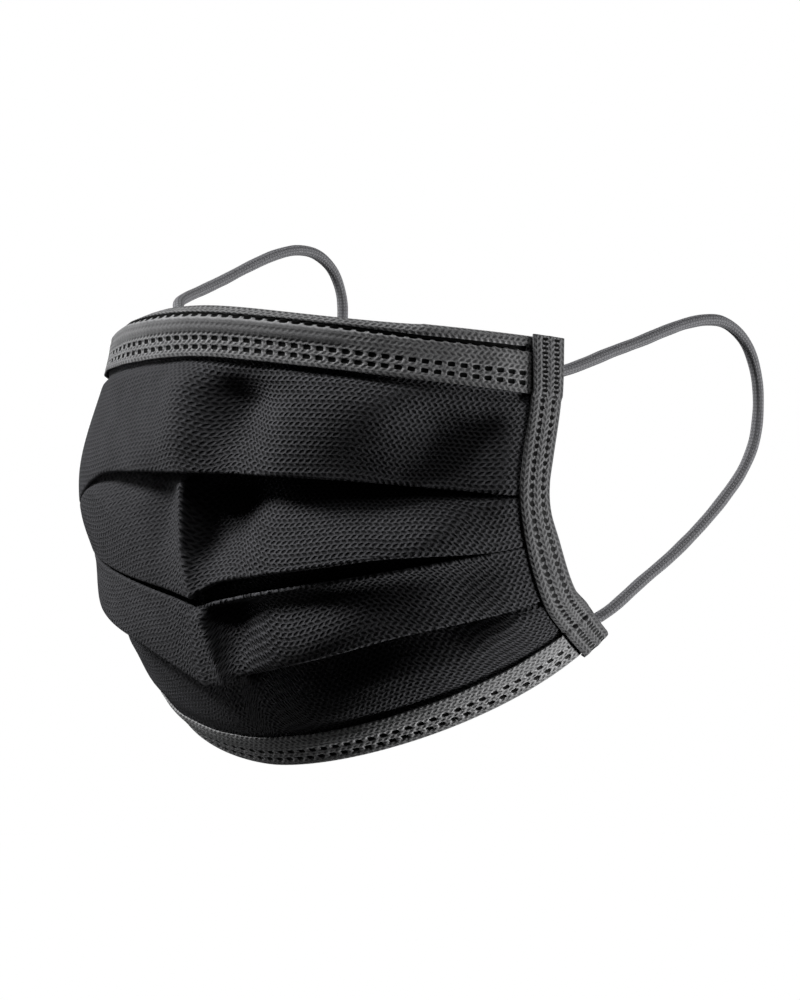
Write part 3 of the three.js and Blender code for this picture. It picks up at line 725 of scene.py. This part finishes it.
def steps_round(places, half, fine, coarse, finish):
    """Steps across a strip, fine within half of each place and coarse elsewhere."""
    at, steps = 0.0, [0.0]
    while at < finish:
        near_mark = any(abs(at + coarse / 2 - place) < half + coarse / 2 for place in places)
        at += fine if near_mark else coarse
        steps.append(min(at, finish))
    return np.array(steps)


def hem(name, edge_row, fold_row, width, marks, face, lean, tones, stretched=None):
    """A strip folded over the cloth at fold_row. face(share, across) raises its outer face, and
    lean is how much of the strip, beside its fold, may lean back."""
    along = np.arange(-HEM_END * HALF_LINE, HEM_END * HALF_LINE + HEM_STEP, HEM_STEP)
    share = along[:, None] / HALF_LINE
    front = steps_round([m["across"] for m in marks], 0.6, 0.2, 0.55, width)
    back = steps_round([m["across"] for m in marks], 0.6, 0.3, 0.9, width - 1.1)
    across = np.concatenate([-back[:0:-1], front])[None]
    rows = np.linspace(fold_row, edge_row, 61)
    line = cloth(share, rows[None])
    height = length_along(line)
    visible = height[:, -1:]
    # Where the cloth is shorter than the strip is wide, the strip by its fold leans back.
    drop = top_drop(share) if lean else 0 * share
    upright = np.clip(visible - drop - (width - lean), 0.2 * lean, lean)
    size = np.abs(across)
    from_fold = np.where(
        size < lean, drop + upright * size / max(lean, 0.01),
        drop + upright + (size - lean) * (visible - drop - upright) / (width - lean),
    )
    leaning = -np.sqrt(np.maximum(lean**2 - upright**2, 0)) * np.clip(1 - size / max(lean, 0.01), 0, 1) ** 1.25
    turn = np.clip(across / FOLD_ZONE, -1, 1) * math.pi / 2
    middle, radius = (LEAF_FRONT + LEAF_BACK) / 2, (LEAF_FRONT - LEAF_BACK) / 2
    out = middle + radius * np.sin(turn) + leaning
    raised = face(share, across)
    held = smooth_step(SIDE_BINDING_SHARE - 0.008, SIDE_BINDING_SHARE - 0.001, np.abs(share)) * (across > 0)
    raised = raised - HELD_DOWN * held
    side = np.where(across < 0, -1, 1)
    open_part = smooth_step(0.3, FOLD_ZONE + 0.3, size)
    out = out + side * open_part * (raised - marked(marks, along[:, None], across))
    row = np.array([np.interp(d, h, rows) for d, h in zip(from_fold, height)])
    points = on_cloth(share, row, out)
    uv = np.stack(np.broadcast_arrays(along[:, None], across), axis=-1)
    if edge_row < fold_row:
        points, uv = points[:, ::-1], uv[:, ::-1]
    material = nonwoven(
        f"charcoal spunbond polypropylene, {name}", *tones, relief=0.20, show=0.62,
        marks=marks, stretched=stretched,
    )
    make_sheet(name, points[:, ::-1], uv[:, ::-1], material, LEAF)


def mark_mask(tree, uv, across, pitch, start, half_along, half_across, power, zone, depth):
    """The same weld marks for the material: 1 in a mark and 0 outside it, and 1 by its rim, where a highlight
    is painted.
    """
    parts = add(tree, "ShaderNodeSeparateXYZ", {0: uv}).node.outputs
    shift = 0.5 - start / pitch
    cell = add(tree, "ShaderNodeMath", {0: parts[0], 1: 1 / pitch, 2: shift}, operation="MULTIPLY_ADD")
    cell = add(tree, "ShaderNodeMath", {0: cell}, operation="FRACT")
    cell = add(tree, "ShaderNodeMath", {0: cell, 1: 0.5}, operation="SUBTRACT")
    cell = add(tree, "ShaderNodeMath", {0: cell}, operation="ABSOLUTE")
    x = add(tree, "ShaderNodeMath", {0: cell, 1: pitch / half_along}, operation="MULTIPLY")
    y = add(tree, "ShaderNodeMath", {0: parts[1]}, operation="ABSOLUTE")
    y = add(tree, "ShaderNodeMath", {0: y, 1: across}, operation="SUBTRACT")
    y = add(tree, "ShaderNodeMath", {0: y}, operation="ABSOLUTE")
    y = add(tree, "ShaderNodeMath", {0: y, 1: 1 / half_across}, operation="MULTIPLY")
    x = add(tree, "ShaderNodeMath", {0: x, 1: power}, operation="POWER")
    y = add(tree, "ShaderNodeMath", {0: y, 1: power}, operation="POWER")
    size = add(tree, "ShaderNodeMath", {0: x, 1: y}, operation="ADD")
    shape = add(tree, "ShaderNodeMapRange", {
        "Value": size, "From Min": 0.6, "From Max": 1.4, "To Min": 1, "To Max": 0,
    }, interpolation_type="SMOOTHSTEP")
    after = add(tree, "ShaderNodeMath", {0: parts[0], 1: zone[0]}, operation="GREATER_THAN")
    before = add(tree, "ShaderNodeMath", {0: parts[0], 1: zone[1]}, operation="LESS_THAN")
    inside = add(tree, "ShaderNodeMath", {0: after, 1: before}, operation="MULTIPLY")
    rim = add(tree, "ShaderNodeMapRange", {
        "Value": size, "From Min": 1.2, "From Max": 7.0, "To Min": 1, "To Max": 0,
    })
    return [add(tree, "ShaderNodeMath", {0: part, 1: inside}, operation="MULTIPLY") for part in (shape, rim)]


MARK_END = 83.5  # the rows stop short of the side bindings
WHOLE_HEM = (-MARK_END, MARK_END)
TOP_WIDTH = 13.6
WIRE_FROM, WIRE_TO = 3.9, 7.9  # across the strip
WIRE_SHARE = 0.44  # of the hem's half length, up to where the wire ends


def weld_row(across, half_along, half_across, depth, pitch=3.05, start=0.0, power=3.0, zone=WHOLE_HEM):
    """A row of weld marks: its distance from the fold, half a mark's sizes, how deep the cloth is
    pressed, and how far apart the marks are. power 2 is an oval, and a higher power is squarer."""
    return {
        "across": across, "pitch": pitch, "start": start, "half_along": half_along, "half_across": half_across,
        "power": power, "zone": zone, "depth": depth,
    }


top_marks = [
    weld_row(3.3, 9.0, 0.40, 0.15),
    weld_row(3.7, 1.05, 0.52, 0.28),
    weld_row(9.2, 0.92, 0.56, 0.28, power=4.0),
    weld_row(11.4, 0.92, 0.56, 0.28, power=4.0),
]


def top_face(share, across):
    """Millimetres by which the top hem's face stands up, over the nose wire and between the welds."""
    size = np.abs(across)
    wire = 1 - smooth_step(0.36, 0.47, np.abs(share))
    # The wire's channel is a flat raised band. Its upper edge is rounded, with a groove above it
    # where the strip is welded, and the cloth is pressed in just below it.
    upper_edge = 0.30 * bump_at(size, 4.6, 0.55)
    channel = smooth_step(WIRE_FROM, WIRE_FROM + 0.8, size) * (1 - smooth_step(WIRE_TO - 0.9, WIRE_TO, size))
    groove = -0.70 * bump_at(size, 3.4, 0.65)
    puff = 0.18 * bump_at(size, 2.0, 0.9) + 0.20 * bump_at(size, 6.2, 1.6) * (1 - wire)
    edge = 0.10 * smooth_step(TOP_WIDTH - 1.5, TOP_WIDTH, size) * np.sin(share * 41 + 1.0)
    ripple = 0.10 * np.sin(share * 57) * smooth_step(0.3, 0.6, np.abs(share)) * bump_at(size, 7.0, 3.0)
    under = -0.35 * bump_at(size, WIRE_TO, 0.20) * wire
    return 0.50 * channel * wire + upper_edge + groove + puff + edge + ripple + under


hem(
    "top_hem", 1, 0, TOP_WIDTH, top_marks, top_face, ROLL_BACK, ("#838384", "#343435"),
    stretched=(WIRE_SHARE * HALF_LINE, WIRE_FROM, WIRE_TO),
)

# The bottom strip is narrower, with larger weld marks, and its colours are paler than the top hem's: painted
# light standing in for light from below.
bottom_marks = [
    weld_row(6.1, 0.86, 0.66, 0.25, pitch=3.1),
    weld_row(3.4, 0.86, 0.66, 0.25, pitch=3.1, start=0.9),
]
BOTTOM_WIDTH = 11.4


def bottom_face(share, across):
    size = np.abs(across)
    puff = 0.20 * bump_at(size, 9.0, 1.8) + 0.12 * bump_at(size, 1.9, 0.8)
    return puff + 0.08 * smooth_step(BOTTOM_WIDTH - 1.5, BOTTOM_WIDTH, size) * np.sin(share * 37)


# Its paler colours are painted light.
hem("bottom_hem", 5, 6, BOTTOM_WIDTH, bottom_marks, bottom_face, 0.0, ("#a2a2a3", "#424243"))

# ---- Side bindings: strips of the same cloth, folded over the side edges, the pressed pleats and
# the ends of both hems, and cut off square. Two rows of welds run along each one, short bars by the
# ends, where the ear loops are, and round dots between them.
SIDE_WIDTH = (1 - SIDE_BINDING_SHARE) * HALF_LINE
SIDE_STEP = 0.23  # along the strip, from one row of points to the next
LOWER_END = 0.9  # below the bottom hem
WELD_ROWS = (3.4, 7.0)  # from the folded edge
BARS_FROM_TOP, BARS_TO_END = 15.0, 9.0
BARS = {"half_along": 0.42, "half_across": 0.95, "depth": 0.07, "pitch": 1.16}
DOTS = {"half_along": 0.72, "half_across": 0.86, "depth": 0.10, "pitch": 1.95, "power": 2.0}


def side_binding(name, sign):
    """One binding, on the wearer's left where sign is 1 and on the right where it is -1."""
    share_middle = sign * (SIDE_BINDING_SHARE + 1) / 2
    rows = np.linspace(0, BOTTOM_ROW, 601)
    line = cloth(share_middle, rows)
    height = length_along(line)
    full = height[-1] + LOWER_END
    along = np.linspace(0, full, round(full / SIDE_STEP))[:, None]
    row = np.interp(along, height, rows)
    beyond = np.clip(along - height[-1], 0, None)
    lower_bars = full - BARS_TO_END
    marks = []
    for across in WELD_ROWS:
        marks.append(weld_row(across, **BARS, start=0.9, zone=(0.2, BARS_FROM_TOP)))
        marks.append(weld_row(across, **DOTS, start=BARS_FROM_TOP + 1.0, zone=(BARS_FROM_TOP, lower_bars)))
        marks.append(weld_row(across, **BARS, start=full - 1.0, zone=(lower_bars, full - 0.3)))
    front = steps_round(WELD_ROWS, 1.1, 0.27, 0.5, SIDE_WIDTH)
    back = steps_round(WELD_ROWS, 1.1, 0.4, 0.8, SIDE_WIDTH)
    across = np.concatenate([-back[:0:-1], front])[None]
    size = np.abs(across)
    over_hems = (1 - smooth_step(0.97, 1.04, row)) + smooth_step(4.92, 5.0, row)
    pleats = smooth_step(1.55, 1.9, row) * (1 - smooth_step(4.3, 4.8, row))
    at_end = smooth_step(full - LOWER_END - 0.3, full, along)
    front_out = (0.62 + 0.60 * over_hems) * (1 - at_end) + 0.50 * at_end
    back_out = (-1.10 - 0.40 * over_hems - 1.45 * pleats) * (1 - at_end) - 0.80 * at_end
    middle, radius = (front_out + back_out) / 2, (front_out - back_out) / 2
    turn = np.clip(across / FOLD_ZONE, -1, 1) * math.pi / 2
    out = middle + radius * np.sin(turn)
    ripple = 0.07 * np.sin(along / 2.3) * smooth_step(7.5, SIDE_WIDTH, size)
    ripple = ripple + 0.10 * bump_at(size, 9.0, 0.9) + 0.12 * bump_at(size, 5.2, 1.0)
    # Its inner edge lies down on the panel, apart from where it crosses the hems.
    ripple = ripple - 0.22 * smooth_step(SIDE_WIDTH - 1.3, SIDE_WIDTH, size) * (1 - over_hems)
    open_part = smooth_step(0.3, FOLD_ZONE + 0.3, size)
    out = out + np.where(across < 0, -1, 1) * open_part * (ripple - marked(marks, along, across))
    # Between its ends the binding is drawn in a little with the pleats, and it narrows at its foot.
    drawn = bump_at(row, 2.0, 1.3)
    at_foot = smooth_step(4.3, 5.4, row)
    from_edge = size * (1 - 0.13 * drawn - 0.10 * at_foot) + 0.5 * drawn + 1.0 * at_foot
    share = sign * (1 - from_edge / HALF_LINE)
    points = on_cloth(share, row + 0 * across, out, down=beyond * (1 - 1.5 * size / SIDE_WIDTH))
    uv = np.stack(np.broadcast_arrays(along, across), axis=-1)
    if sign < 0:
        points, uv = points[:, ::-1], uv[:, ::-1]
    # The binding's colours are darker than the top hem's, though it is the same cloth: painted shade that holds
    # back the strong light of the side lamps.
    material = nonwoven(
        f"charcoal spunbond polypropylene, {name}", "#6c6c6d", "#2a2a2b", relief=0.22, show=0.58, marks=marks
    )
    make_sheet(name, points, uv, material, LEAF)


side_binding("side_binding_left", 1)
side_binding("side_binding_right", -1)

# ---- Floor and light. The floor is a dark matt acrylic sheet that glows white to the camera alone. Its glow
# is weaker under the mask, painted shade that leaves it pale grey there and plain white further out,
# and the room is as white to the camera. Both give the mask itself hardly any light, so that it stands in the
# light of five soft lamps.
bpy.ops.mesh.primitive_circle_add(vertices=128, radius=9, fill_type="NGON", location=(0, 0, -1.2))
floor = bpy.context.object
floor.name = "floor"
acrylic = bpy.data.materials.new("matt acrylic with painted shade under the mask")
acrylic.use_nodes = True
tree = acrylic.node_tree
shader = tree.nodes["Principled BSDF"]
shader.inputs["Base Color"].default_value = linear("#3a3a3a")
shader.inputs["Roughness"].default_value = 0.9
shader.inputs["Specular IOR Level"].default_value = 0.2
place = add(tree, "ShaderNodeTexCoord", {}).node.outputs["Object"]
distance = add(tree, "ShaderNodeVectorMath", {0: place}, operation="LENGTH").node.outputs[1]
# Painted shade: the glow is 0.7 within 0.2 m of the spot under the mask and rises to full 2.5 m out.
glow_with_painted_shade = add(tree, "ShaderNodeMapRange", {
    "Value": distance, "From Min": 0.2, "From Max": 2.5, "To Min": 0.7,
}, interpolation_type="SMOOTHSTEP")
seen = add(tree, "ShaderNodeLightPath", {})
glow_with_painted_shade = add(tree, "ShaderNodeMath", {0: glow_with_painted_shade, 1: seen}, operation="MULTIPLY")
shader.inputs["Emission Color"].default_value = (1, 1, 1, 1)
tree.links.new(glow_with_painted_shade, shader.inputs["Emission Strength"])
floor.data.materials.append(acrylic)

# Degrees from the mask's front toward the wearer's left, degrees up, metres away, metres wide, watts.
for name, azimuth, elevation, distance, size, power in [
    ("key", -41, 42, 1.1, 0.30, 14),
    ("left side", -70, 5, 1.1, 0.45, 1.4),
    ("low left", -75, -28, 1.1, 0.45, 1.5),
    ("right side", 131, -15, 1.1, 0.38, 13.5),
    ("upper right", 78, 48, 1.1, 0.45, 1.2),
]:
    a, e = math.radians(azimuth), math.radians(elevation)
    way = Vector((math.sin(a) * math.cos(e), -math.cos(a) * math.cos(e), math.sin(e)))
    bpy.ops.object.light_add(type="AREA")
    light = bpy.context.object
    light.name = name
    light.data.size = size
    light.data.energy = power
    light.location = look_at + distance * way
    light.rotation_euler = way.to_track_quat("Z", "Y").to_euler()

world = bpy.data.worlds.new("studio")
bpy.context.scene.world = world
world.use_nodes = True
tree = world.node_tree
background = tree.nodes["Background"]
seen = add(tree, "ShaderNodeLightPath", {})
strength = add(tree, "ShaderNodeMapRange", {"Value": seen, "To Min": 0.01, "To Max": 1.0})
tree.links.new(strength, background.inputs["Strength"])
background.inputs["Color"].default_value = (1, 1, 1, 1)
bpy.context.scene.view_settings.view_transform = "Standard"
